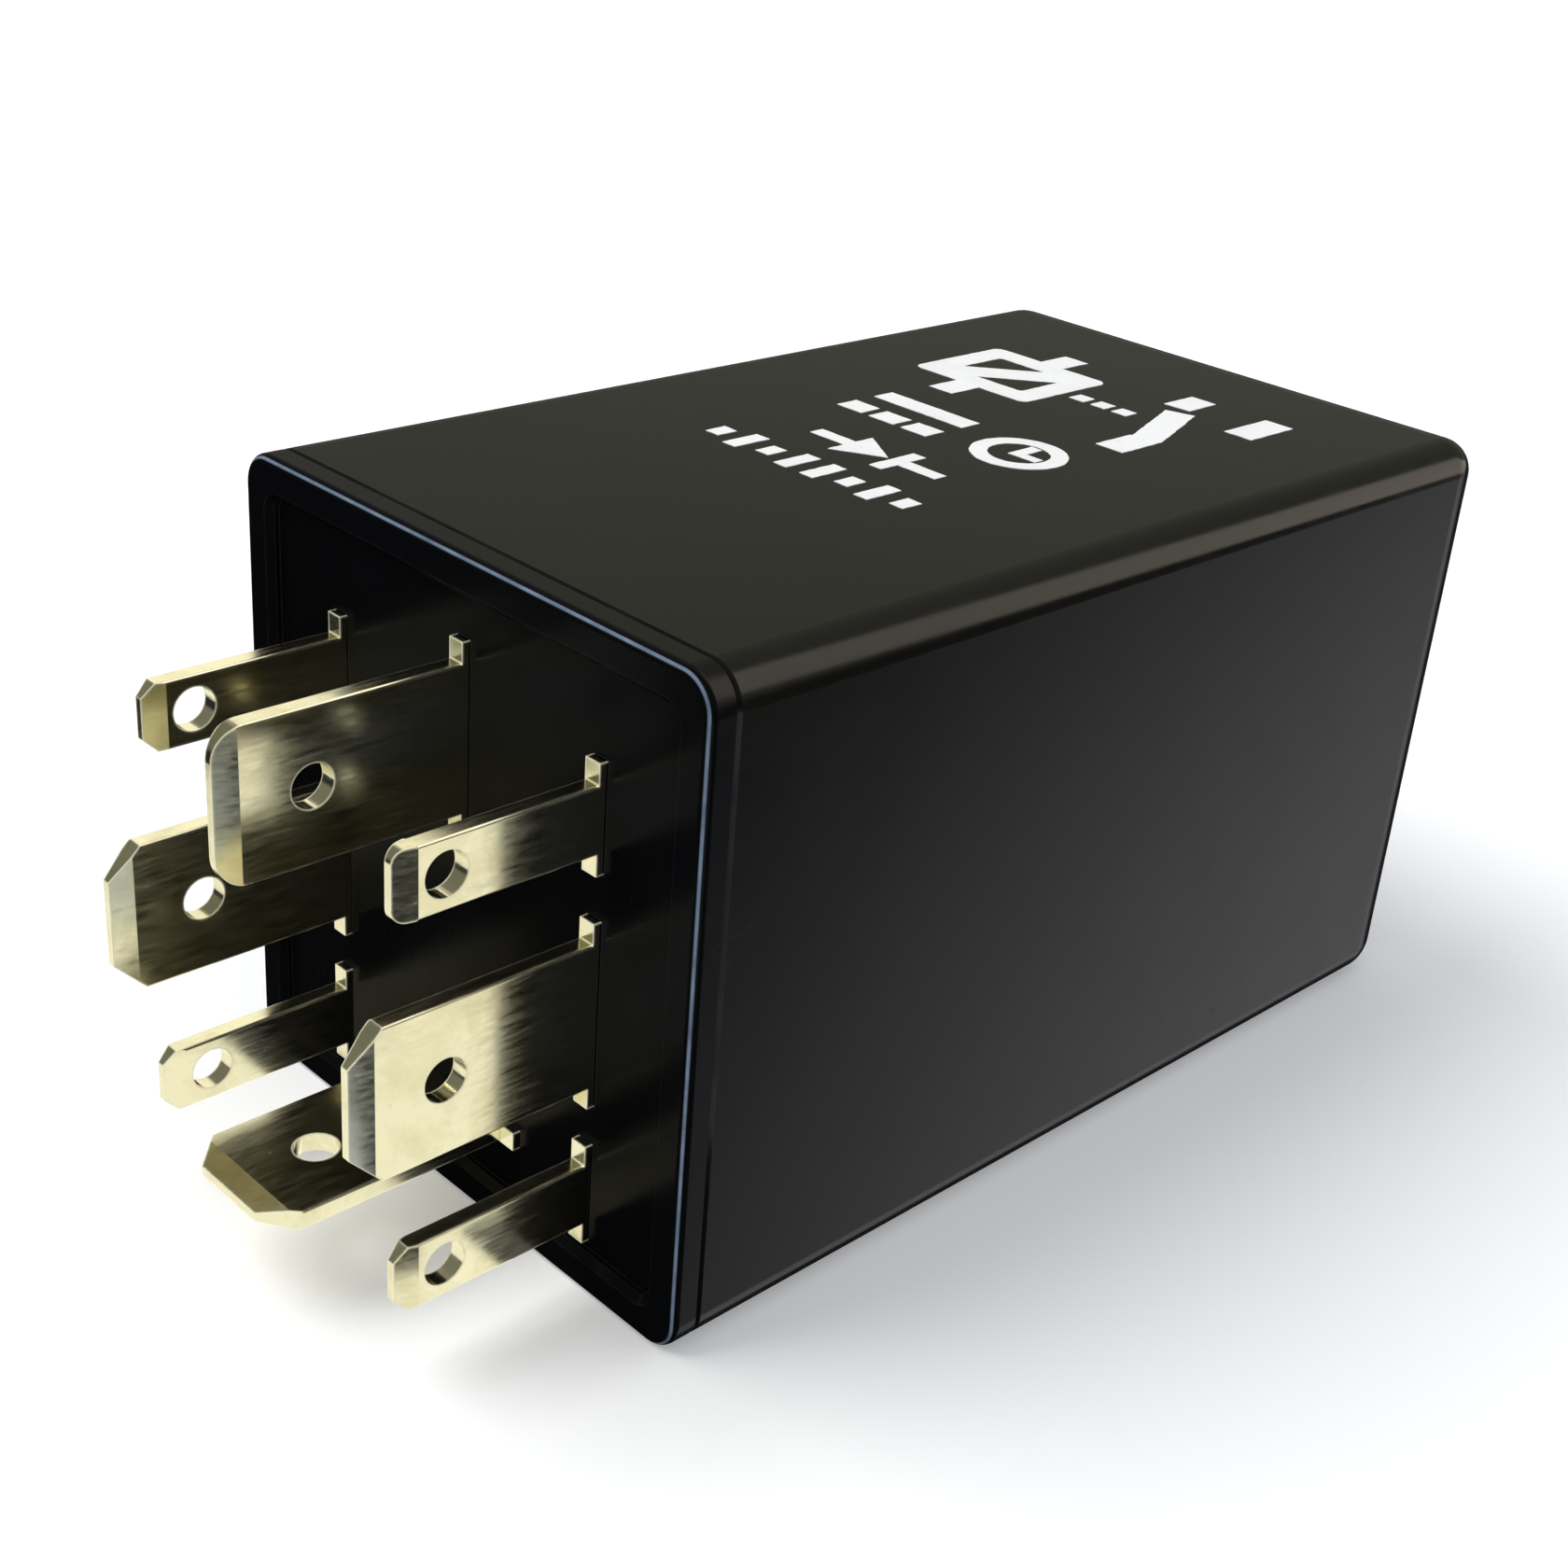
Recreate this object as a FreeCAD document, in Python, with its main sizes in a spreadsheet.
import FreeCAD, Part
import Sketcher
import os
import re
from FreeCAD import Placement, Rotation
from FreeCAD import Vector as V

# Plug-in relay module with a timer board, lying on its side.
# Frame: millimetres, +Z up. The origin is the centre of the terminal-side rim
# (the plane that seats on a socket). The blades point to -Y and the housing
# runs to +Y. Left is -X, upper is +Z.

doc = FreeCAD.newDocument("plug_in_relay")
sheet = doc.addObject("Spreadsheet::Sheet", "Sizes")

# Endings: _r radius, _t thickness, _w width, _l length, _x _y _z a place.
SIZES = [
    # housing
    ("housing_w", 28.0), ("housing_tall", 28.0), ("housing_l", 49.0),
    ("wall_t", 1.2), ("long_edge_r", 1.5), ("end_edge_r", 3.0),
    ("cavity_r", 0.6), ("cavity_end_r", 1.6),
    ("seam_y", 1.3), ("seam_chamfer", 0.12), ("rim_edge_r", 0.35),
    # base
    ("lip_w", 1.7), ("floor_y", 0.5), ("lip_chamfer", 0.3),
    ("plug_gap", 0.1), ("plug_end_y", 4.5), ("post_side", 2.2), ("post_c", 11.1),
    # blade terminals
    ("pitch", 8.0), ("row_top", 6.5), ("row_mid", -1.7), ("row_low", -9.7),
    ("blade_t", 0.8), ("blade_large", 6.3), ("blade_small", 2.8),
    ("large_tip_y", -10.2), ("small_tip_y", -8.4), ("hole_y", -6.3), ("hole_r", 0.9),
    ("shoulder_side", 0.85), ("shoulder_y", 0.18), ("shoulder_end_y", 5.3),
    ("tail_end_y", 9.1), ("tail_w", 1.8), ("tail_shift", 2.9), ("slot_gap", 0.05),
    ("bevel_deep", 0.22), ("bevel_long", 0.95), ("bevel_side_over", 0.3), ("bevel_tip_over", 0.2),
    ("tip_cut_large", 1.3), ("tip_cut_small", 0.55), ("blade_edge_r", 0.1),
    # carrier board, its pins and its solder rings
    ("board_y", 7.0), ("board_t", 1.6), ("board_half", 12.3), ("board_edge_r", 0.8),
    ("board_slot_gap", 0.1),
    ("coil_pin_x", 5.6), ("coil_pin_z", -2.5), ("coil_pin_y", 6.3), ("coil_pin_l", 6.2),
    ("header_pitch", 2.4), ("header_z", -7.35), ("header_y", 11.2), ("header_low_y", 6.4),
    ("header_strip_w", 13.6), ("header_strip_l", 1.9), ("header_strip_t", 1.3),
    ("header_bore_l", 6.0),
    ("ring_tall", 0.4), ("tail_ring_low_r", 1.45), ("tail_ring_top_r", 1.1),
    ("strip_ring_low_r", 0.98), ("strip_ring_top_r", 1.08),
    ("pin_ring_low_r", 0.45), ("pin_ring_top_r", 0.8), ("ring_bore_over", 0.2), ("ring_bore_l", 1.0),
    # magnet system
    ("axis_z", 1.5), ("yoke_t", 1.6), ("yoke_w", 10.0), ("yoke_foot_y", 8.9),
    ("yoke_back_z", -6.2), ("yoke_foot_top_z", 7.0), ("yoke_end_y", 26.24),
    ("yoke_bend_r", 1.2), ("yoke_corner_r", 0.6),
    ("core_r", 2.6), ("core_stub_r", 2.0), ("core_stub_out", 0.15),
    ("pole_r", 3.6), ("pole_t", 0.8), ("pole_y", 26.2), ("pole_chamfer", 0.15),
    ("bobbin_in_r", 2.65), ("bobbin_tube_r", 3.4), ("flange_half", 6.0), ("flange_edge_r", 1.0),
    ("bobbin_y", 10.6), ("flange_low_t", 1.0), ("flange_top_y", 23.9), ("flange_top_t", 1.25),
    ("winding_r", 5.7), ("tape_r", 5.85), ("tape_margin", 0.6),
    # moving system, sized in the closed position
    ("hinge_y", 26.3), ("hinge_z", -6.2), ("open_angle", 5.0),
    ("armature_t", 1.4), ("armature_top_z", 7.0), ("armature_w", 10.0), ("armature_cut", 2.0),
    ("arm_t", 0.3), ("arm_w", 6.4), ("arm_low_z", -1.5), ("arm_top_z", 10.5),
    ("arm_neck_in", 1.2), ("arm_neck_l", 1.4), ("arm_taper_l", 3.2),
    ("contact_z", 9.4), ("contact_r", 1.4), ("contact_t", 0.8),
    ("contact_cut_r", 0.25), ("contact_cut_y", 0.2),
    ("shank_r", 0.7), ("shank_gap", 0.02), ("shank_out", 0.2),
    ("rivet_x", 2.2), ("rivet_z", 0.2), ("rivet_r", 0.7), ("rivet_inset", 0.3),
    ("rivet_head_r", 1.2), ("rivet_head_t", 0.6), ("rivet_round_r", 0.3),
    ("spring_t", 0.25), ("spring_w", 5.0), ("flex_r", 0.55), ("flex_gap", 0.03), ("flex_z", 4.2),
    # fixed contacts
    ("strip_z", 10.9), ("strip_t", 0.6), ("make_top_y", 26.0), ("make_face_y", 26.86),
    ("break_low_y", 31.15), ("break_face_y", 30.35), ("strip_foot_y", 8.7),
    ("strip_tail_y", 6.4), ("strip_bend_r", 0.45), ("plate_margin", 0.1),
    ("make_tail_x", -3.6), ("make_side_x", -5.8), ("make_strip_x", -1.4), ("make_plate_x", 2.0),
    ("break_tail_x", 4.3), ("break_side_x", 5.8), ("break_strip_x", 2.8), ("break_plate_x", -2.0),
    # timer board, its rails, leads and solder
    ("timer_z", -10.6), ("timer_t", 1.6), ("timer_half", 12.2),
    ("timer_y", 9.3), ("timer_end_y", 46.8),
    ("rib_reach", 0.9), ("rib_t", 0.7), ("rib_gap", 0.1), ("rib_y", 9.8), ("rib_sink", 0.3),
    ("lead_r", 0.3), ("lead_hole_r", 0.42), ("lead_end_z", -11.2),
    ("solder_r", 0.85), ("solder_tip_r", 0.4), ("solder_tall", 0.5),
    # eight-pin chip; heights are above the timer board
    ("chip_x", 5.6), ("chip_y", 39.0), ("chip_w", 6.4), ("chip_l", 9.4),
    ("chip_low", 0.5), ("chip_tall", 3.3), ("notch_r", 0.9), ("notch_deep", 0.5),
    ("dot_r", 0.45), ("dot_deep", 0.15), ("dot_in_x", 2.1), ("dot_in_y", 3.3),
    ("leg_pitch", 2.54), ("leg_row_half", 3.81), ("leg_t", 0.26), ("leg_w", 0.48),
    ("leg_wide_w", 1.2), ("leg_wide_low", 0.35), ("leg_top", 2.3),
    # can capacitors
    ("big_can_x", -6.2), ("big_can_y", 39.0), ("big_can_r", 5.0), ("big_can_tall", 15.0),
    ("big_lead_half", 2.5),
    ("small_can_x", 8.6), ("small_can_y", 28.0), ("small_can_r", 3.15), ("small_can_tall", 11.0),
    ("small_lead_half", 1.25), ("can_gap", 0.05), ("can_low_cut", 0.3), ("can_top_cut", 0.4),
    ("groove_low", 1.6), ("groove_in_low", 2.0), ("groove_in_top", 2.4), ("groove_top", 2.8),
    ("groove_deep", 0.35),
    ("sleeve_t", 0.12), ("sleeve_low", 0.45), ("sleeve_top_t", 0.1), ("sleeve_lap", 1.1),
    # resistors and diodes
    ("resistor_l", 6.3), ("resistor_span", 10.16), ("resistor_up", 1.3), ("resistor_r", 1.0),
    ("resistor_end_r", 1.2), ("resistor_end_l", 1.7), ("resistor_round_r", 0.4),
    ("diode_x", 0.2), ("diode_pitch", 3.6), ("diode_y", 19.2), ("diode_up", 1.25),
    ("diode_l", 4.6), ("diode_span", 9.4), ("diode_r", 1.15), ("diode_round_r", 0.2),
    # surge absorber
    ("surge_x", 9.4), ("surge_y", 18.2), ("surge_up", 4.5), ("surge_r", 3.6), ("surge_t", 3.0),
    ("surge_round_r", 1.0), ("surge_lead_x", 0.5), ("surge_lead_y", 2.5), ("surge_lead_up", 3.2),
    # driver transistor
    ("driver_x", 9.4), ("driver_y", 11.9), ("driver_up", 2.4), ("driver_r", 2.3),
    ("driver_tall", 4.6), ("driver_flat", 1.3), ("driver_pitch", 1.27),
    ("driver_lead_w", 0.44), ("driver_lead_t", 0.4),
    # film capacitor
    ("film_x", 5.6), ("film_y", 45.5), ("film_up", 0.3), ("film_w", 7.2), ("film_t", 2.3),
    ("film_tall", 6.2), ("film_round_r", 0.35), ("film_lead_half", 2.5),
]
ALIASES = {alias for alias, size in SIZES}
for row, (alias, size) in enumerate(SIZES, 1):
    sheet.set("A%d" % row, alias)
    sheet.set("B%d" % row, repr(size))
    sheet.setAlias("B%d" % row, alias)
doc.recompute()

NODES = {}      # label: finished piece
LEAD_HOLES = []     # x, y of every lead through the timer board
created = [0]

TIMER_TOP = "timer_z + timer_t"
ARMATURE_FACE = "hinge_y + armature_t"
COIL_X = ("-1 * coil_pin_x", "coil_pin_x")
RIVET_X = ("-1 * rivet_x", "rivet_x")
HEADER_X = ["%g * header_pitch" % (i - 2.5) for i in range(6)]


# ---------------------------------------------------------------- expressions
# Sizes and places are passed as text: expressions in the sheet's aliases.

def value(expr):
    """Value of a sheet expression, in millimetres or degrees."""
    return float(sheet.evalExpression(expr))


def linked(expr):
    """The same expression as another object sees it."""
    def prefix(match):
        word = match.group(0)
        return "Sizes." + word if word in ALIASES else word
    return re.sub(r"[a-z][a-z0-9_]*", prefix, expr)


def bind(obj, prop, expr):
    setattr(obj, prop, value(expr))
    obj.setExpression(prop, linked(expr))


def unique(stem):
    created[0] += 1
    return "%s%03d" % (stem, created[0])


def named(obj, label):
    obj.Label = label
    NODES[label] = obj
    return obj


def put(obj, x, y, z, turn=Rotation()):
    obj.Placement = Placement(V(value(x), value(y), value(z)), turn)
    for axis, expr in (("x", x), ("y", y), ("z", z)):
        obj.setExpression("Placement.Base." + axis, linked(expr))
    return obj


# ---------------------------------------------------------------- sketches

def new_body(label):
    return named(doc.addObject("PartDesign::Body", unique("Body")), label)


def sketch(body, plane_name, offset="0"):
    """Sketch on an origin plane. On XZ the offset is the sketch's Y."""
    drawing = body.newObject("Sketcher::SketchObject", unique("Sketch"))
    role = plane_name + "_Plane"
    plane = [item for item in body.Origin.OriginFeatures if item.Role == role][0]
    drawing.AttachmentSupport = [(plane, "")]
    drawing.MapMode = "FlatFace"
    if plane_name == "XZ":      # this plane looks to -Y
        offset = "-1 * (%s)" % offset
    drawing.AttachmentOffset = Placement(V(0, 0, value(offset)), Rotation())
    drawing.setExpression("AttachmentOffset.Base.z", linked(offset))
    return drawing


def fix_point(drawing, geo, pos, across, up):
    for kind, axis, expr in (("DistanceX", -2, across), ("DistanceY", -1, up)):
        distance = value(expr)
        if abs(distance) < 1e-9:
            drawing.addConstraint(Sketcher.Constraint("PointOnObject", geo, pos, axis))
        else:
            index = drawing.addConstraint(Sketcher.Constraint(kind, -1, 1, geo, pos, distance))
            drawing.setExpression("Constraints[%d]" % index, linked(expr))


def polygon(drawing, points):
    corners = [V(value(across), value(up), 0) for across, up in points]
    first = drawing.GeometryCount
    count = len(corners)
    for i in range(count):
        drawing.addGeometry(Part.LineSegment(corners[i], corners[(i + 1) % count]), False)
    for i in range(count):
        following = first + (i + 1) % count
        drawing.addConstraint(Sketcher.Constraint("Coincident", first + i, 2, following, 1))
    for i, (across, up) in enumerate(points):
        fix_point(drawing, first + i, 1, across, up)


def rect(drawing, centre_x, centre_y, width, height):
    left, right = ["(%s) %s (%s) / 2" % (centre_x, sign, width) for sign in "-+"]
    low, top = ["(%s) %s (%s) / 2" % (centre_y, sign, height) for sign in "-+"]
    polygon(drawing, [(left, low), (right, low), (right, top), (left, top)])


def circle(drawing, x, y, radius):
    shape = Part.Circle(V(value(x), value(y), 0), V(0, 0, 1), value(radius))
    geo = drawing.addGeometry(shape, False)
    index = drawing.addConstraint(Sketcher.Constraint("Radius", geo, value(radius)))
    drawing.setExpression("Constraints[%d]" % index, linked(radius))
    fix_point(drawing, geo, 3, x, y)


# ---------------------------------------------------------------- features

def check(obj, before=None, grows=None):
    doc.recompute()
    failed = [state for state in obj.State if state in ("Invalid", "Error")]
    if failed or obj.Shape.isNull() or not obj.Shape.isValid():
        raise RuntimeError("%s failed: %s" % (obj.Label, obj.State))
    if before is not None:
        change = obj.Shape.Volume - before
        if (grows and change <= 1e-6) or (not grows and change >= -1e-6):
            raise RuntimeError("%s changed nothing: %g" % (obj.Label, change))


def volume_of(body):
    tip = body.Tip
    if tip is None or not hasattr(tip, "Shape") or tip.Shape.isNull():
        return 0.0
    return tip.Shape.Volume


def extrude(body, kind, drawing, length, back, middle):
    doc.recompute()
    before = volume_of(body)
    feature = body.newObject("PartDesign::" + kind, unique(kind))
    feature.Profile = drawing
    bind(feature, "Length", length)
    # unreversed, a pad follows its sketch's normal and a pocket runs against it
    feature.Reversed = back != (kind == "Pocket")
    if middle:
        feature.SideType = "Symmetric"
    check(feature, before, kind == "Pad")


def pad(body, drawing, length, back=False, middle=False):
    """Add material; back runs against the sketch's normal, so to +Y from XZ."""
    extrude(body, "Pad", drawing, length, back, middle)


def pocket(body, drawing, length, back=False, middle=False):
    """Remove material; directions as for pad."""
    extrude(body, "Pocket", drawing, length, back, middle)


def revolve(body, drawing, axis):
    doc.recompute()
    before = volume_of(body)
    feature = body.newObject("PartDesign::Revolution", unique("Rev"))
    feature.Profile = drawing
    feature.ReferenceAxis = (drawing, [axis])
    feature.Angle = 360.0
    check(feature, before, True)


def dress(body, kind, size, want):
    """Fillet or chamfer on the edges of the body that want() accepts."""
    doc.recompute()
    tip = body.Tip
    names = ["Edge%d" % i for i, edge in enumerate(tip.Shape.Edges, 1) if want(edge)]
    if not names:
        raise RuntimeError("no edge found on " + body.Label)
    feature = body.newObject("PartDesign::" + kind, unique(kind))
    feature.Base = (tip, names)
    bind(feature, "Radius" if kind == "Fillet" else "Size", size)
    check(feature)


def turned(label, points, z):
    """Body revolved about a line along Y at height z; points are (y, radius)."""
    body = new_body(label)
    drawing = sketch(body, "YZ")
    polygon(drawing, points)
    revolve(body, drawing, "H_Axis")
    if z is not None:
        put(body, "0", "0", z)
    return body


# ---------------------------------------------------------------- edge tests

def near(first, second):
    return abs(first - second) < 1e-4


def along(edge, axis):
    box = edge.BoundBox
    spans = {"x": box.XLength, "y": box.YLength, "z": box.ZLength}
    span = spans.pop(axis)
    return span > 1e-3 and max(spans.values()) < 1e-4


def at_y(edge, y):
    return near(edge.BoundBox.YMin, y) and near(edge.BoundBox.YMax, y)


def reach_x(edge):
    return max(abs(edge.BoundBox.XMin), abs(edge.BoundBox.XMax))


def reach_z(edge):
    return max(abs(edge.BoundBox.ZMin), abs(edge.BoundBox.ZMax))


def square_corner(edge, half):
    """An edge along Y at a corner of a centred square."""
    box = edge.BoundBox
    return along(edge, "y") and near(abs(box.XMin), half) and near(abs(box.ZMin), half)


# ---------------------------------------------------------------- primitives
TURNS = {"z": Rotation(), "y": Rotation(V(1, 0, 0), -90), "x": Rotation(V(0, 1, 0), 90)}


def primitive(kind, stem, place, turn=Rotation(), **sizes):
    obj = doc.addObject("Part::" + kind, unique(stem))
    for prop, expr in sizes.items():
        bind(obj, prop, expr)
    return put(obj, *place, turn)


def block(x, y, z, size_x, size_y, size_z):
    return primitive("Box", "Box", (x, y, z), Length=size_x, Width=size_y, Height=size_z)


def rod(x, y, z, radius, length, axis="z"):
    return primitive("Cylinder", "Cyl", (x, y, z), TURNS[axis], Radius=radius, Height=length)


def cone(x, y, z, low_r, top_r, length, axis="z"):
    return primitive("Cone", "Cone", (x, y, z), TURNS[axis],
                     Radius1=low_r, Radius2=top_r, Height=length)


def ball(x, y, z, radius):
    return primitive("Sphere", "Ball", (x, y, z), Radius=radius)


def fuse(objs, label=None):
    union = doc.addObject("Part::MultiFuse", unique("Fuse"))
    union.Shapes = objs
    union.Refine = True
    return named(union, label) if label else union


def cut(base, tool, label=None):
    result = doc.addObject("Part::Cut", unique("Cut"))
    result.Base = base
    result.Tool = tool
    return named(result, label) if label else result


def round_edges(obj, radius, want):
    doc.recompute()
    size = value(radius)
    result = doc.addObject("Part::Fillet", unique("Round"))
    result.Base = obj
    result.Edges = [(i, size, size) for i, edge in enumerate(obj.Shape.Edges, 1) if want(edge)]
    return result


# ---------------------------------------------------------------- housing

def make_cover():
    cover = new_body("cover")
    end, seam = value("housing_l"), value("seam_y")
    half_w, half_tall = value("housing_w / 2"), value("housing_tall / 2")
    drawing = sketch(cover, "XZ", "seam_y")
    rect(drawing, "0", "0", "housing_w", "housing_tall")
    pad(cover, drawing, "housing_l - seam_y", back=True)
    dress(cover, "Fillet", "end_edge_r", lambda e: at_y(e, end))
    dress(cover, "Fillet", "long_edge_r", lambda e: along(e, "y"))

    drawing = sketch(cover, "XZ", "seam_y")
    rect(drawing, "0", "0", "housing_w - 2 * wall_t", "housing_tall - 2 * wall_t")
    pocket(cover, drawing, "housing_l - seam_y - wall_t", back=True)
    cavity_half, cavity_end = value("housing_w / 2 - wall_t"), value("housing_l - wall_t")
    dress(cover, "Fillet", "cavity_end_r", lambda e: at_y(e, cavity_end))
    dress(cover, "Fillet", "cavity_r", lambda e: square_corner(e, cavity_half))

    # two rails on each side wall guide the long edges of the timer board
    drawing = sketch(cover, "XZ", "rib_y")
    for side in ("-1", "1"):
        for rail_z in ("timer_z - rib_gap - rib_t / 2", "timer_z + timer_t + rib_gap + rib_t / 2"):
            rect(drawing, side + " * (housing_w / 2 - wall_t - rib_reach / 2 + rib_sink / 2)",
                 rail_z, "rib_reach + rib_sink", "rib_t")
    pad(cover, drawing, "housing_l - wall_t / 2 - rib_y", back=True)
    dress(cover, "Chamfer", "seam_chamfer", lambda e: at_y(e, seam)
          and (reach_x(e) > half_w - 1e-3 or reach_z(e) > half_tall - 1e-3))


# Blade tables: the three columns, then one row per blade with
# name, column, row, size, width along X instead of Z, tip style, tail offset.
LEFT, MIDDLE, RIGHT = "-1 * pitch", "0 * pitch", "pitch"
BLADES = [
    ("blade_small_upper_left", LEFT, "row_top", "small", False, "cut", "0"),
    ("blade_large_upper_middle", MIDDLE, "row_top", "large", False, "round", "tail_shift"),
    ("blade_small_upper_right", RIGHT, "row_top", "small", False, "round", "0"),
    ("blade_large_middle_left", LEFT, "row_mid", "large", False, "cut", "0"),
    ("blade_large_middle_right", RIGHT, "row_mid", "large", False, "cut", "0"),
    ("blade_small_lower_left", LEFT, "row_low", "small", False, "cut", "0"),
    ("blade_large_lower_middle", MIDDLE, "row_low", "large", True, "cut", "0"),
    ("blade_small_lower_right", RIGHT, "row_low", "small", False, "cut", "0"),
]
# x, z, size along X and size along Z of each tail; the turn that lays a blade's
# width along X carries its tail offset from +Z to +X
TAILS = []
for name, x, z, size, wide_x, tip, tail in BLADES:
    if wide_x:
        TAILS.append(("%s + %s" % (x, tail), z, "tail_w", "blade_t"))
    else:
        TAILS.append((x, "%s + %s" % (z, tail), "blade_t", "tail_w"))


def make_base():
    base = new_body("base")
    seam, floor = value("seam_y"), value("floor_y")
    drawing = sketch(base, "XZ")
    rect(drawing, "0", "0", "housing_w", "housing_tall")
    pad(base, drawing, "seam_y", back=True)
    dress(base, "Fillet", "long_edge_r", lambda e: along(e, "y"))
    dress(base, "Fillet", "rim_edge_r", lambda e: at_y(e, 0))
    dress(base, "Chamfer", "seam_chamfer", lambda e: at_y(e, seam))

    # shallow recess inside the rim
    drawing = sketch(base, "XZ")
    rect(drawing, "0", "0", "housing_w - 2 * lip_w", "housing_tall - 2 * lip_w")
    pocket(base, drawing, "floor_y", back=True)
    lip_half = value("housing_w / 2 - lip_w")
    dress(base, "Fillet", "cavity_r",
          lambda e: square_corner(e, lip_half) and e.BoundBox.YMax < floor + 1e-4)
    dress(base, "Chamfer", "lip_chamfer",
          lambda e: at_y(e, 0) and max(reach_x(e), reach_z(e)) < lip_half + 1e-3)

    # plug that enters the cover, with four posts under the carrier board
    drawing = sketch(base, "XZ", "seam_y")
    rect(drawing, "0", "0", "housing_w - 2 * wall_t - 2 * plug_gap",
         "housing_tall - 2 * wall_t - 2 * plug_gap")
    pad(base, drawing, "plug_end_y - seam_y", back=True)
    plug_half = value("housing_w / 2 - wall_t - plug_gap")
    dress(base, "Fillet", "cavity_r", lambda e: square_corner(e, plug_half))
    drawing = sketch(base, "XZ", "plug_end_y")
    for sign_x in ("-1", "1"):
        for sign_z in ("-1", "1"):
            rect(drawing, sign_x + " * post_c", sign_z + " * post_c", "post_side", "post_side")
    pad(base, drawing, "board_y - plug_end_y", back=True)

    # blade slots
    drawing = sketch(base, "XZ", "floor_y")
    for name, x, z, size, wide_x, tip, tail in BLADES:
        wide = "blade_%s + 2 * shoulder_side + 2 * slot_gap" % size
        thin = "blade_t + 2 * slot_gap"
        rect(drawing, x, z, wide if wide_x else thin, thin if wide_x else wide)
    pocket(base, drawing, "plug_end_y - floor_y", back=True)


def make_blade(name, x, z, size, wide_x, tip, tail):
    blade = new_body(name)
    half = "(blade_%s / 2)" % size
    shoulder = "(blade_%s / 2 + shoulder_side)" % size
    tip_y = size + "_tip_y"
    tail_low, tail_top = tail + " - tail_w / 2", tail + " + tail_w / 2"
    drawing = sketch(blade, "YZ")
    polygon(drawing, [
        (tip_y, "-1 * " + half), ("shoulder_y", "-1 * " + half),
        ("shoulder_y", "-1 * " + shoulder), ("shoulder_end_y", "-1 * " + shoulder),
        ("shoulder_end_y", tail_low), ("tail_end_y", tail_low),
        ("tail_end_y", tail_top), ("shoulder_end_y", tail_top),
        ("shoulder_end_y", shoulder), ("shoulder_y", shoulder),
        ("shoulder_y", half), (tip_y, half)])
    pad(blade, drawing, "blade_t", middle=True)

    # detent hole
    drawing = sketch(blade, "YZ")
    circle(drawing, "hole_y", "0", "hole_r")
    pocket(blade, drawing, "blade_t * 2", middle=True)

    half_w, half_t = value(half), value("blade_t / 2")
    tip_at, shoulder_at = value(tip_y), value("shoulder_y")
    dress(blade, "Fillet" if tip == "round" else "Chamfer", "tip_cut_" + size,
          lambda e: along(e, "x") and near(e.BoundBox.YMin, tip_at)
          and near(abs(e.BoundBox.ZMin), half_w))

    # lead-in bevel on both faces of the tip
    before_tip, bevel_end = tip_y + " - bevel_tip_over", tip_y + " + bevel_long"
    right_out, left_out = "blade_t / 2 + bevel_side_over", "-1 * blade_t / 2 - bevel_side_over"
    right_in, left_in = "blade_t / 2 - bevel_deep", "-1 * blade_t / 2 + bevel_deep"
    drawing = sketch(blade, "XY")
    polygon(drawing, [(right_out, before_tip), (right_out, bevel_end), ("blade_t / 2", bevel_end),
                      (right_in, tip_y), (right_in, before_tip)])
    polygon(drawing, [(left_out, before_tip), (left_in, before_tip), (left_in, tip_y),
                      ("-1 * blade_t / 2", bevel_end), (left_out, bevel_end)])
    pocket(blade, drawing, "blade_%s + 1" % size, middle=True)

    # rolled edges along the blade
    dress(blade, "Fillet", "blade_edge_r",
          lambda e: along(e, "y") and near(abs(e.BoundBox.ZMin), half_w)
          and e.BoundBox.YMax < shoulder_at + 1e-4 and near(abs(e.BoundBox.XMin), half_t))
    put(blade, x, "0", z, Rotation(V(0, 1, 0), 90) if wide_x else Rotation())


# ---------------------------------------------------------------- carrier board

def make_carrier_board():
    board = new_body("carrier_board")
    drawing = sketch(board, "XZ", "board_y")
    rect(drawing, "0", "0", "2 * board_half", "2 * board_half")
    pad(board, drawing, "board_t", back=True)
    dress(board, "Fillet", "board_edge_r", lambda e: along(e, "y"))
    drawing = sketch(board, "XZ", "board_y")
    gap = " + 2 * board_slot_gap"
    for x, z, size_x, size_z in TAILS:
        rect(drawing, x, z, size_x + gap, size_z + gap)
    for x in ("make_tail_x", "break_tail_x"):
        rect(drawing, x, "strip_z + strip_t / 2", "tail_w" + gap, "strip_t" + gap)
    for x in COIL_X:
        circle(drawing, x, "coil_pin_z", "lead_hole_r")
    for x in HEADER_X:
        circle(drawing, x, "header_z", "lead_hole_r")
    pocket(board, drawing, "board_t", back=True)


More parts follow.
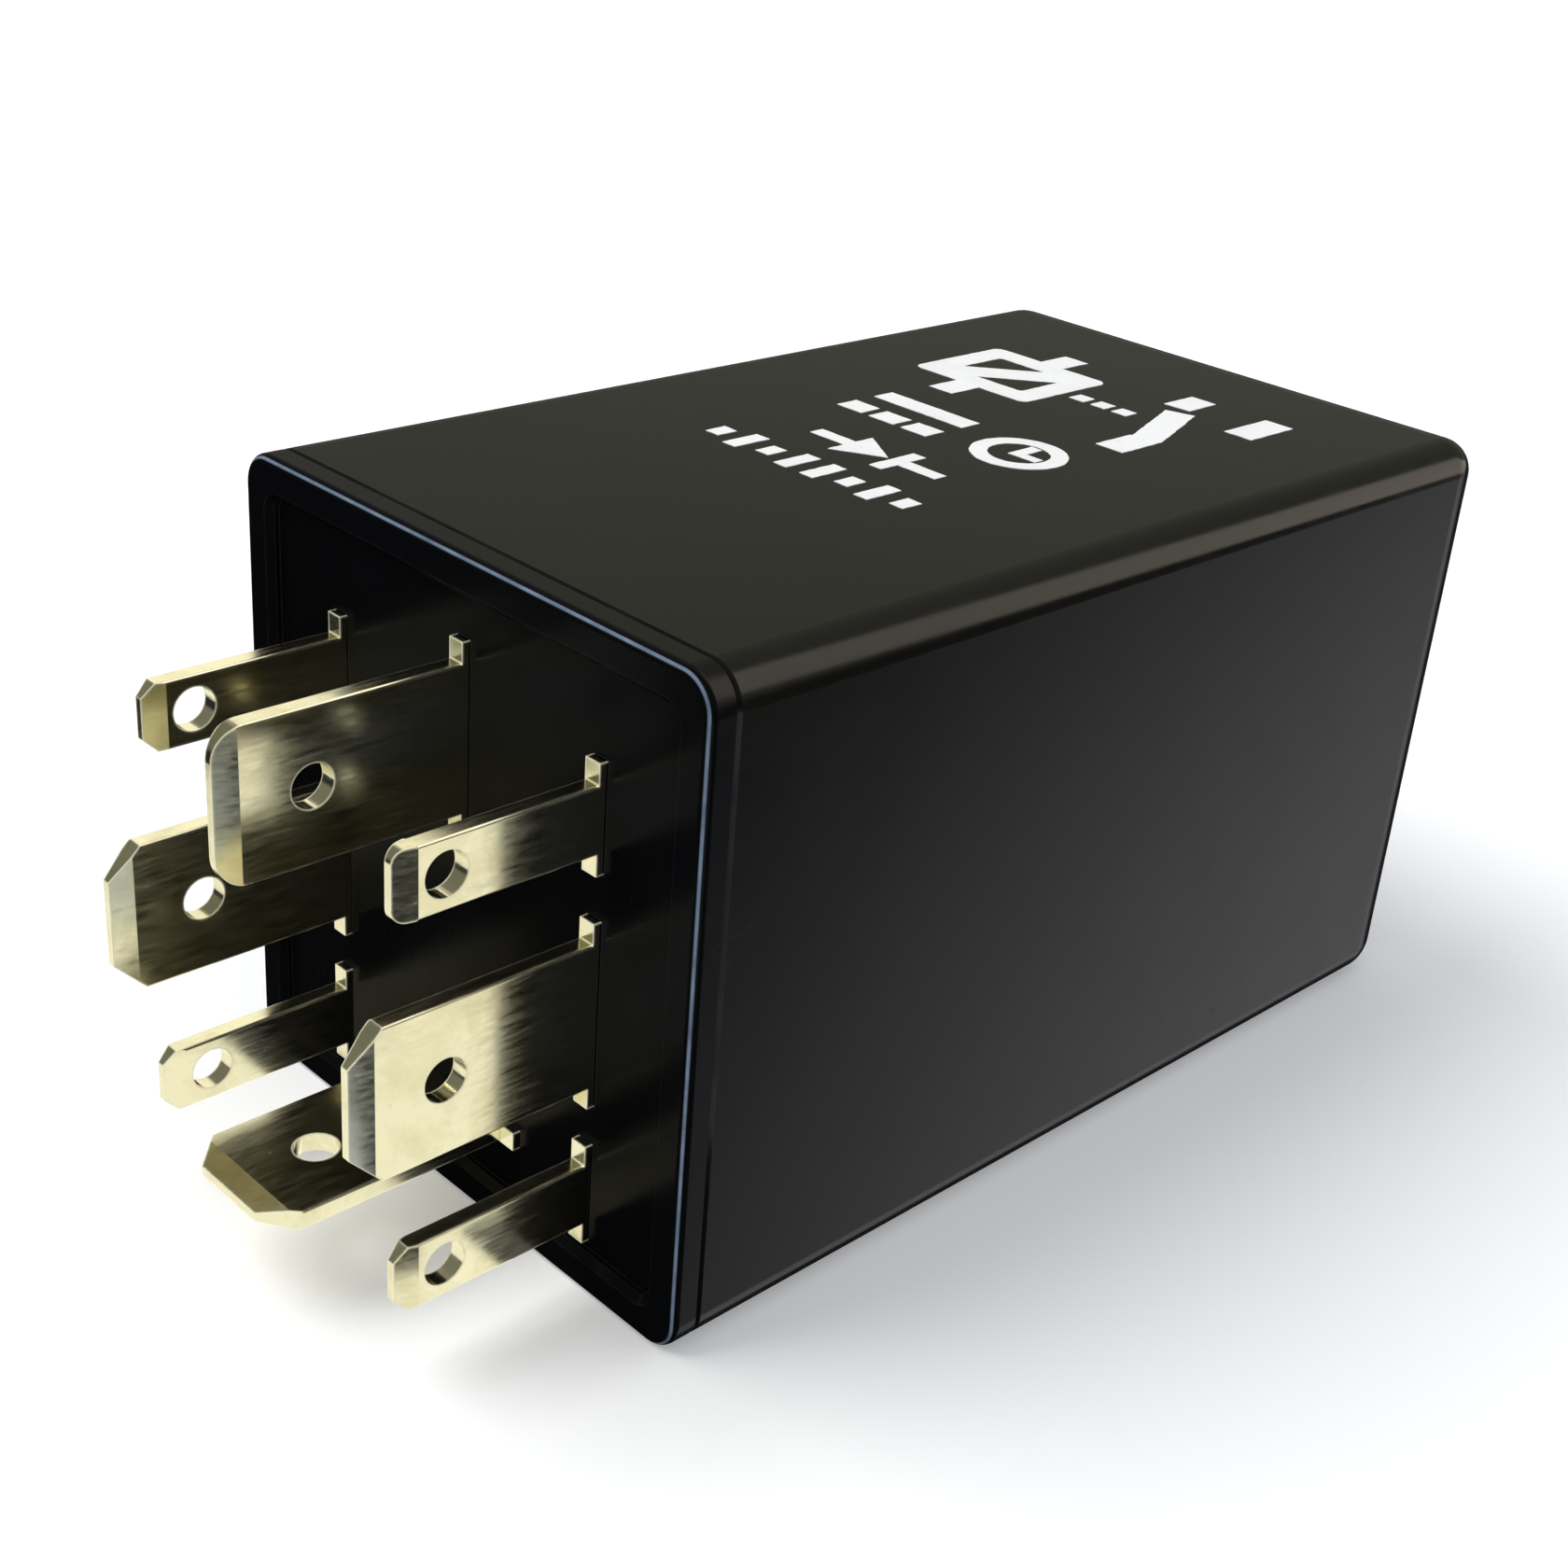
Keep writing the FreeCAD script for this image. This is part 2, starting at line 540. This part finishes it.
def make_carrier_solder():
    """Rings on the +Y face round the blade tails, on the -Y face round the rest."""
    rings = []
    for x, z, size_x, size_z in TAILS:
        ring = cone(x, "board_y + board_t", z, "tail_ring_low_r", "tail_ring_top_r",
                    "ring_tall", "y")
        bore = block("%s - %s / 2" % (x, size_x), "board_y + board_t - ring_bore_over",
                     "%s - %s / 2" % (z, size_z), size_x, "ring_bore_l", size_z)
        rings.append(cut(ring, bore))
    ring_y, bore_y = "board_y - ring_tall", "board_y - ring_tall - ring_bore_over"
    for x in ("make_tail_x", "break_tail_x"):
        ring = cone(x, ring_y, "strip_z + strip_t / 2", "strip_ring_low_r", "strip_ring_top_r",
                    "ring_tall", "y")
        bore = block(x + " - tail_w / 2", bore_y, "strip_z", "tail_w", "ring_bore_l", "strip_t")
        rings.append(cut(ring, bore))
    for x, z in [(x, "header_z") for x in HEADER_X] + [(x, "coil_pin_z") for x in COIL_X]:
        ring = cone(x, ring_y, z, "pin_ring_low_r", "pin_ring_top_r", "ring_tall", "y")
        rings.append(cut(ring, rod(x, bore_y, z, "lead_r", "ring_bore_l", "y")))
    fuse(rings, "carrier_board_solder")


# ---------------------------------------------------------------- magnet system

def make_yoke():
    yoke = new_body("yoke")
    foot_end, back_top = "yoke_foot_y + yoke_t", "yoke_back_z + yoke_t"
    drawing = sketch(yoke, "YZ")
    polygon(drawing, [("yoke_foot_y", "yoke_back_z"), ("yoke_end_y", "yoke_back_z"),
                      ("yoke_end_y", back_top), (foot_end, back_top),
                      (foot_end, "yoke_foot_top_z"), ("yoke_foot_y", "yoke_foot_top_z")])
    pad(yoke, drawing, "yoke_w", middle=True)
    foot, back, top = value("yoke_foot_y"), value("yoke_back_z"), value("yoke_foot_top_z")
    dress(yoke, "Fillet", "yoke_bend_r", lambda e: along(e, "x")
          and near(e.BoundBox.YMin, foot) and near(e.BoundBox.ZMin, back))
    drawing = sketch(yoke, "XZ", "yoke_foot_y")
    circle(drawing, "0", "axis_z", "core_stub_r")
    pocket(yoke, drawing, "yoke_t", back=True)
    dress(yoke, "Fillet", "yoke_corner_r", lambda e: along(e, "y") and near(e.BoundBox.ZMin, top))


def make_core():
    stub_y, foot_end, pole_low = "yoke_foot_y - core_stub_out", "yoke_foot_y + yoke_t", \
        "pole_y - pole_t"
    turned("core", [
        (stub_y, "0"), (stub_y, "core_stub_r"), (foot_end, "core_stub_r"), (foot_end, "core_r"),
        (pole_low, "core_r"), (pole_low, "pole_r"), ("pole_y - pole_chamfer", "pole_r"),
        ("pole_y", "pole_r - pole_chamfer"), ("pole_y", "0")], "axis_z")


def make_bobbin():
    bobbin = new_body("bobbin")
    drawing = sketch(bobbin, "XZ", "bobbin_y")
    rect(drawing, "0", "0", "2 * flange_half", "2 * flange_half")
    pad(bobbin, drawing, "flange_low_t", back=True)
    drawing = sketch(bobbin, "XZ", "bobbin_y + flange_low_t")
    circle(drawing, "0", "0", "bobbin_tube_r")
    pad(bobbin, drawing, "flange_top_y - bobbin_y - flange_low_t", back=True)
    drawing = sketch(bobbin, "XZ", "flange_top_y")
    rect(drawing, "0", "0", "2 * flange_half", "2 * flange_half")
    pad(bobbin, drawing, "flange_top_t", back=True)
    half = value("flange_half")
    dress(bobbin, "Fillet", "flange_edge_r",
          lambda e: along(e, "y") and near(abs(e.BoundBox.XMin), half))
    drawing = sketch(bobbin, "XZ", "bobbin_y")
    circle(drawing, "0", "0", "bobbin_in_r")
    pocket(bobbin, drawing, "flange_top_y + flange_top_t - bobbin_y", back=True)
    drawing = sketch(bobbin, "XZ", "bobbin_y")
    for x in COIL_X:
        circle(drawing, x, "coil_pin_z - axis_z", "lead_r")
    pocket(bobbin, drawing, "flange_low_t", back=True)
    put(bobbin, "0", "0", "axis_z")


def make_sleeve(label, inner_r, outer_r, low_y, top_y):
    turned(label, [(low_y, inner_r), (top_y, inner_r), (top_y, outer_r), (low_y, outer_r)],
           "axis_z")


def make_coil():
    low_y, top_y = "bobbin_y + flange_low_t", "flange_top_y"
    make_sleeve("coil_winding", "bobbin_tube_r", "winding_r", low_y, top_y)
    make_sleeve("coil_tape", "winding_r", "tape_r",
                low_y + " + tape_margin", top_y + " - tape_margin")
    fuse([rod(x, "coil_pin_y", "coil_pin_z", "lead_r", "coil_pin_l", "y") for x in COIL_X],
         "coil_pins")


# ---------------------------------------------------------------- moving system
# Built closed, then swung open about the hinge line.
OPEN = Placement(V(0, 0, 0), Rotation(V(1, 0, 0), -value("open_angle")),
                 V(0, value("hinge_y"), value("hinge_z")))


def opened(x, y, z):
    """Where a point of the closed moving system, given in Y and Z, lies once open."""
    point = OPEN.multVec(V(0, y, z))
    return V(x, point.y, point.z)


def make_armature():
    armature = new_body("armature")
    left, right = "-1 * armature_w / 2", "armature_w / 2"
    corner_z = "armature_top_z - armature_cut"
    drawing = sketch(armature, "XZ", "hinge_y")
    polygon(drawing, [(left, "hinge_z"), (right, "hinge_z"), (right, corner_z),
                      (right + " - armature_cut", "armature_top_z"),
                      (left + " + armature_cut", "armature_top_z"), (left, corner_z)])
    pad(armature, drawing, "armature_t", back=True)
    drawing = sketch(armature, "XZ", "hinge_y")
    for x in RIVET_X:
        circle(drawing, x, "rivet_z", "rivet_r + shank_gap")
    pocket(armature, drawing, "armature_t", back=True)
    armature.Placement = OPEN


def make_contact_arm():
    arm = new_body("contact_arm")
    left, right = "-1 * arm_w / 2", "arm_w / 2"
    neck_left, neck_right = left + " + arm_neck_in", right + " - arm_neck_in"
    neck_z, taper_z = "arm_top_z - arm_neck_l", "arm_top_z - arm_taper_l"
    drawing = sketch(arm, "XZ", ARMATURE_FACE)
    polygon(drawing, [(left, "arm_low_z"), (right, "arm_low_z"), (right, taper_z),
                      (neck_right, neck_z), (neck_right, "arm_top_z"),
                      (neck_left, "arm_top_z"), (neck_left, neck_z), (left, taper_z)])
    pad(arm, drawing, "arm_t", back=True)
    drawing = sketch(arm, "XZ", ARMATURE_FACE)
    for x in RIVET_X:
        circle(drawing, x, "rivet_z", "rivet_r + shank_gap")
    circle(drawing, "0", "contact_z", "shank_r + shank_gap")
    pocket(arm, drawing, "arm_t", back=True)
    arm.Placement = OPEN


CONTACT_FACE_R = "contact_r - contact_cut_r"


def make_moving_contact():
    low, arm_face = ARMATURE_FACE + " - contact_t", ARMATURE_FACE + " + arm_t"
    top = arm_face + " + contact_t"
    contact = turned("moving_contact", [
        (low, "0"), (low, CONTACT_FACE_R), (low + " + contact_cut_y", "contact_r"),
        (ARMATURE_FACE, "contact_r"), (ARMATURE_FACE, "shank_r"),
        (arm_face, "shank_r"), (arm_face, "contact_r"),
        (top + " - contact_cut_y", "contact_r"), (top, CONTACT_FACE_R), (top, "0")], None)
    contact.Placement = OPEN.multiply(Placement(V(0, 0, value("contact_z")), Rotation()))


def make_rivets():
    head_y = ARMATURE_FACE + " + arm_t"
    head_end = value(head_y + " + rivet_head_t")
    rivets = []
    for x in RIVET_X:
        shank = rod(x, "hinge_y + rivet_inset", "rivet_z", "rivet_r",
                    "armature_t - rivet_inset + arm_t", "y")
        head = rod(x, head_y, "rivet_z", "rivet_head_r", "rivet_head_t", "y")
        head = round_edges(head, "rivet_round_r", lambda e: at_y(e, head_end))
        rivets.append(fuse([shank, head]))
    fuse(rivets, "armature_rivets").Placement = OPEN


# Leaf spring's inner line under the yoke and round the hinge: Y, Z from hinge_z
SPRING_RUN = [(17.5, -0.02), (21.0, -0.02), (24.8, -0.02), (26.4, -0.14), (27.7, -0.42),
              (28.35, -0.02), (28.3, 0.9)]
# Its two ends on the closed armature: Y from the outer face, Z from hinge_z
SPRING_LAND = [(0.09, 1.9), (0.04, 3.9)]
SPRING_STEPS = 48


def make_hinge_spring():
    """Leaf under the yoke and on the armature's outer face."""
    hinge_z, outer_face = value("hinge_z"), value(ARMATURE_FACE)
    thick, width = value("spring_t"), value("spring_w")
    start, end = [opened(0, outer_face + y, hinge_z + z) for y, z in SPRING_LAND]
    points = [V(0, y, hinge_z + z) for y, z in SPRING_RUN] + [start, (start + end) * 0.5, end]
    inner = Part.BSplineCurve()
    inner.interpolate(points)
    first, last = inner.FirstParameter, inner.LastParameter
    offset_points = []
    for i in range(SPRING_STEPS + 1):
        parameter = first + (last - first) * i / SPRING_STEPS
        point = inner.value(parameter)
        direction = inner.tangent(parameter)[0]
        offset_points.append(V(0, point.y + direction.z * thick, point.z - direction.y * thick))
    outer = Part.BSplineCurve()
    outer.interpolate(offset_points)
    outline = Part.Wire([
        inner.toShape(),
        Part.makeLine(inner.value(last), outer.value(outer.LastParameter)),
        outer.toShape(),
        Part.makeLine(outer.value(outer.FirstParameter), inner.value(first))])
    spring = named(doc.addObject("Part::Feature", "HingeSpring"), "hinge_spring")
    spring.Shape = Part.Face(outline).extrude(V(width, 0, 0))
    spring.Placement = Placement(V(-width / 2, 0, 0), Rotation())


def make_flex_lead():
    """Braided lead from the moving arm down to the carrier board."""
    radius = value("flex_r")
    start = opened(-0.6, value(ARMATURE_FACE + " + arm_t + flex_r + flex_gap"), value("flex_z"))
    # centre line; the first three points follow the open arm
    points = [start, V(-3.0, start.y + 0.05, start.z), V(-6.2, start.y - 0.25, 3.3),
              V(-8.6, 26.6, 1.6), V(-9.9, 22.0, 0.0), V(-10.3, 15.0, -1.0), V(-10.3, 8.65, -1.5)]
    path = Part.BSplineCurve()
    path.interpolate(points)
    direction = path.tangent(path.FirstParameter)[0]
    profile = Part.Wire([Part.makeCircle(radius, start, direction)])
    lead = named(doc.addObject("Part::Feature", "FlexLead"), "flex_lead")
    lead.Shape = Part.Wire([path.toShape()]).makePipeShell([profile], True, True)
    lead.Placement = Placement()


# ---------------------------------------------------------------- fixed contacts

def make_bracket(label, strip_x, tail_x, plate_x, low_y):
    """Strip over strip_x with a tail into the board, and a plate that hangs from its
    end over plate_x; both spans are (left, right)."""
    bracket = new_body(label)
    left, right = strip_x
    end_y = low_y + " + strip_t"
    tail_left, tail_right = tail_x + " - tail_w / 2", tail_x + " + tail_w / 2"
    drawing = sketch(bracket, "XY", "strip_z")
    polygon(drawing, [(tail_left, "strip_tail_y"), (tail_right, "strip_tail_y"),
                      (tail_right, "strip_foot_y"), (right, "strip_foot_y"), (right, end_y),
                      (left, end_y), (left, "strip_foot_y"), (tail_left, "strip_foot_y")])
    pad(bracket, drawing, "strip_t")
    left, right = plate_x
    plate_low, plate_top = "contact_z - contact_r - plate_margin", "strip_z + strip_t"
    drawing = sketch(bracket, "XZ", low_y)
    polygon(drawing, [(left, plate_low), (right, plate_low), (right, plate_top),
                      (left, plate_top)])
    pad(bracket, drawing, "strip_t", back=True)
    drawing = sketch(bracket, "XZ", low_y)
    circle(drawing, "0", "contact_z", "shank_r + shank_gap")
    pocket(bracket, drawing, "strip_t", back=True)
    bend_y, bend_z = value(end_y), value(plate_top)
    dress(bracket, "Fillet", "strip_bend_r", lambda e: along(e, "x")
          and near(e.BoundBox.YMin, bend_y) and near(e.BoundBox.ZMin, bend_z))


def make_fixed_contacts():
    make_low = "make_top_y - strip_t"
    make_bracket("make_contact_bracket", ("make_side_x", "make_strip_x"), "make_tail_x",
                 ("make_side_x", "make_plate_x"), make_low)
    make_bracket("break_contact_bracket", ("break_strip_x", "break_side_x"), "break_tail_x",
                 ("break_plate_x", "break_side_x"), "break_low_y")
    shank_low, shank_top = make_low + " - shank_out", "break_low_y + strip_t + shank_out"
    turned("make_contact", [
        (shank_low, "0"), (shank_low, "shank_r"), ("make_top_y", "shank_r"),
        ("make_top_y", "contact_r"), ("make_face_y - contact_cut_y", "contact_r"),
        ("make_face_y", CONTACT_FACE_R), ("make_face_y", "0")], "contact_z")
    turned("break_contact", [
        ("break_face_y", "0"), ("break_face_y", CONTACT_FACE_R),
        ("break_face_y + contact_cut_y", "contact_r"), ("break_low_y", "contact_r"),
        ("break_low_y", "shank_r"), (shank_top, "shank_r"), (shank_top, "0")], "contact_z")


# ---------------------------------------------------------------- timer board parts

def lead_down(x, y, top):
    """Round lead from height top down through the timer board."""
    LEAD_HOLES.append((x, y))
    return rod(x, y, "lead_end_z", "lead_r", top + " - lead_end_z")


def make_header():
    """Right-angle pins between the two boards, and the strip that holds them."""
    pins = []
    for x in HEADER_X:
        run = rod(x, "header_low_y", "header_z", "lead_r", "header_y - header_low_y", "y")
        leg = lead_down(x, "header_y", "header_z")
        pins.append(fuse([run, leg, ball(x, "header_y", "header_z", "lead_r")]))
    fuse(pins, "header_pins")
    strip = block("-1 * header_strip_w / 2", "board_y + board_t", "header_z - header_strip_t / 2",
                  "header_strip_w", "header_strip_l", "header_strip_t")
    bores = [rod(x, "board_y", "header_z", "lead_r", "header_bore_l", "y") for x in HEADER_X]
    cut(strip, fuse(bores), "header_strip")


def make_chip():
    """Eight-pin timer circuit with an end notch and a dot on top."""
    chip = block("chip_x - chip_w / 2", "chip_y - chip_l / 2", TIMER_TOP + " + chip_low",
                 "chip_w", "chip_l", "chip_tall")
    chip_top = TIMER_TOP + " + chip_low + chip_tall"
    notch = rod("chip_x", "chip_y - chip_l / 2", chip_top + " - notch_deep", "notch_r", "1.0")
    dot = rod("chip_x - dot_in_x", "chip_y - dot_in_y", chip_top + " - dot_deep", "dot_r", "1.0")
    cut(chip, fuse([notch, dot]), "timer_chip")
    legs = []
    for side, inner_x in (("-", "chip_x - leg_row_half"), ("+", "chip_x + chip_w / 2")):
        for step in (-1.5, -0.5, 0.5, 1.5):
            x = "chip_x %s leg_row_half" % side
            y = "chip_y + %g * leg_pitch" % step
            LEAD_HOLES.append((x, y))
            narrow = block(x + " - leg_t / 2", y + " - leg_w / 2", "lead_end_z",
                           "leg_t", "leg_w", TIMER_TOP + " + leg_top - lead_end_z")
            wide = block(x + " - leg_t / 2", y + " - leg_wide_w / 2",
                         TIMER_TOP + " + leg_wide_low", "leg_t", "leg_wide_w",
                         "leg_top - leg_wide_low")
            inward = block(inner_x, y + " - leg_wide_w / 2", TIMER_TOP + " + leg_top - leg_t",
                           "leg_row_half - chip_w / 2", "leg_wide_w", "leg_t")
            legs.append(fuse([narrow, wide, inward]))
    fuse(legs, "timer_chip_pins")


def make_can(label, size):
    """Can with a groove near its foot, and its sleeve; size is big or small."""
    x, y, tall = size + "_can_x", size + "_can_y", size + "_can_tall"
    outer = "(%s_can_r - sleeve_t)" % size
    groove = outer + " - groove_deep"
    foot_z = TIMER_TOP + " + can_gap"
    body = new_body(label)
    drawing = sketch(body, "XZ")
    polygon(drawing, [("0", "0"), (outer + " - can_low_cut", "0"), (outer, "can_low_cut"),
                      (outer, "groove_low"), (groove, "groove_in_low"),
                      (groove, "groove_in_top"), (outer, "groove_top"),
                      (outer, tall + " - can_top_cut"), (outer + " - can_top_cut", tall),
                      ("0", tall)])
    revolve(body, drawing, "V_Axis")
    put(body, x, y, foot_z)
    sleeve = new_body(label + "_sleeve")
    sleeve_r, sleeve_top, lap = outer + " + sleeve_t", tall + " + sleeve_top_t", \
        outer + " - sleeve_lap"
    drawing = sketch(sleeve, "XZ")
    polygon(drawing, [(outer, "sleeve_low"), (sleeve_r, "sleeve_low"), (sleeve_r, sleeve_top),
                      (lap, sleeve_top), (lap, tall), (outer, tall)])
    revolve(sleeve, drawing, "V_Axis")
    put(sleeve, x, y, foot_z)


def make_can_capacitors():
    make_can("timing_capacitor", "big")
    make_can("supply_capacitor", "small")
    top = TIMER_TOP + " + can_gap"
    leads = [lead_down("big_can_x %s big_lead_half" % sign, "big_can_y", top) for sign in "-+"]
    leads += [lead_down("small_can_x", "small_can_y %s small_lead_half" % sign, top)
              for sign in "-+"]
    fuse(leads, "capacitor_leads")


def axial_leads(x, y, z, body_l, span):
    """Leads of a part that lies along Y: two legs and two runs to the body's ends."""
    leads = []
    ends = (("%s - %s / 2" % (y, span), "%s - %s / 2" % (y, span)),
            ("%s + %s / 2" % (y, span), "%s + %s / 2" % (y, body_l)))
    for leg_y, run_y in ends:
        leg = lead_down(x, leg_y, z)
        run = rod(x, run_y, z, "lead_r", "(%s - %s) / 2" % (span, body_l), "y")
        leads.append(fuse([leg, run, ball(x, leg_y, z, "lead_r")]))
    return leads


def make_resistors():
    z = TIMER_TOP + " + resistor_up"
    bodies, leads = [], []
    for y in ("15.6", "26.8"):
        for x in ("-10.4", "-7.7"):
            leads += axial_leads(x, y, z, "resistor_l", "resistor_span")
            low_y = y + " - resistor_l / 2"
            parts = [rod(x, low_y, z, "resistor_r", "resistor_l", "y")]
            for end_y in (low_y, y + " + resistor_l / 2 - resistor_end_l"):
                end = rod(x, end_y, z, "resistor_end_r", "resistor_end_l", "y")
                parts.append(round_edges(end, "resistor_round_r", lambda e: True))
            bodies.append(fuse(parts))
    fuse(bodies, "resistors")
    fuse(leads, "resistor_leads")


def make_diodes():
    z = TIMER_TOP + " + diode_up"
    bodies, leads = [], []
    for step in (-1, 0, 1):
        x = "diode_x + %d * diode_pitch" % step
        leads += axial_leads(x, "diode_y", z, "diode_l", "diode_span")
        body = rod(x, "diode_y - diode_l / 2", z, "diode_r", "diode_l", "y")
        bodies.append(round_edges(body, "diode_round_r", lambda e: not along(e, "y")))
    fuse(bodies, "diodes")
    fuse(leads, "diode_leads")


def make_surge_absorber():
    """Disc that stands on two leads, with its axis along X."""
    places = [("surge_x %s surge_lead_x" % sign, "surge_y %s surge_lead_y" % sign)
              for sign in "-+"]
    leads = [lead_down(x, y, TIMER_TOP + " + surge_lead_up") for x, y in places]
    disc = rod("surge_x - surge_t / 2", "surge_y", TIMER_TOP + " + surge_up",
               "surge_r", "surge_t", "x")
    disc = round_edges(disc, "surge_round_r", lambda e: not along(e, "x"))
    bores = [rod(x, y, TIMER_TOP, "lead_r", "surge_lead_up") for x, y in places]
    cut(disc, fuse(bores), "surge_absorber")
    fuse(leads, "surge_absorber_leads")


def make_driver_transistor():
    """Round case with a flat on its -Y side."""
    case = rod("driver_x", "driver_y", TIMER_TOP + " + driver_up", "driver_r", "driver_tall")
    # the cutter is oversize on every side but the flat
    cutter = block("driver_x - 4", "driver_y - driver_flat - 4", TIMER_TOP + " + 2",
                   "8", "4", "6")
    cut(case, cutter, "driver_transistor")
    leads = []
    for step in (-1, 0, 1):
        x = "driver_x + %d * driver_pitch" % step
        LEAD_HOLES.append((x, "driver_y"))
        leads.append(block(x + " - driver_lead_w / 2", "driver_y - driver_lead_t / 2",
                           "lead_end_z", "driver_lead_w", "driver_lead_t",
                           TIMER_TOP + " + driver_up - lead_end_z"))
    fuse(leads, "driver_transistor_leads")


def make_film_capacitor():
    low = TIMER_TOP + " + film_up"
    case = block("film_x - film_w / 2", "film_y - film_t / 2", low,
                 "film_w", "film_t", "film_tall")
    above_foot = value(TIMER_TOP) + 0.5
    case = round_edges(case, "film_round_r", lambda e: e.BoundBox.ZMax > above_foot)
    named(case, "film_capacitor")
    fuse([lead_down("film_x %s film_lead_half" % sign, "film_y", low) for sign in "-+"],
         "film_capacitor_leads")


LEAD_SETS = ["header_pins", "timer_chip_pins", "capacitor_leads", "resistor_leads",
             "diode_leads", "surge_absorber_leads", "driver_transistor_leads",
             "film_capacitor_leads"]


def make_timer_board():
    """Board with a hole for every lead, and the solder on its -Z side."""
    board = block("-1 * timer_half", "timer_y", "timer_z",
                  "2 * timer_half", "timer_end_y - timer_y", "timer_t")
    drills = [rod(x, y, "timer_z - 1", "lead_hole_r", "timer_t + 2") for x, y in LEAD_HOLES]
    cut(board, fuse(drills), "timer_board")
    cones = [cone(x, y, "timer_z - solder_tall", "solder_tip_r", "solder_r", "solder_tall")
             for x, y in LEAD_HOLES]
    cut(fuse(cones), fuse([NODES[name] for name in LEAD_SETS]), "timer_board_solder")


# ---------------------------------------------------------------- build
make_cover()
make_base()
for blade_row in BLADES:
    make_blade(*blade_row)
make_carrier_board()
make_carrier_solder()
make_yoke()
make_core()
make_bobbin()
make_coil()
make_armature()
make_contact_arm()
make_moving_contact()
make_rivets()
make_hinge_spring()
make_flex_lead()
make_fixed_contacts()
make_header()
make_chip()
make_can_capacitors()
make_resistors()
make_diodes()
make_surge_absorber()
make_driver_transistor()
make_film_capacitor()
make_timer_board()      # last, once every lead has its hole listed

# ---------------------------------------------------------------- check and write
doc.recompute()
faults = []
for obj in doc.Objects:
    if any(state in ("Invalid", "Error") for state in obj.State):
        faults.append("%s: %s" % (obj.Label, obj.State))
for name, node in NODES.items():
    shape = node.Shape
    if shape.isNull() or not shape.isValid() or not shape.Solids or shape.Volume <= 0:
        faults.append(name + ": bad shape")
if faults:
    raise RuntimeError("; ".join(faults))
os.makedirs("parts", exist_ok=True)
for name, node in sorted(NODES.items()):
    node.Shape.exportStep(os.path.join("parts", name + ".step"))
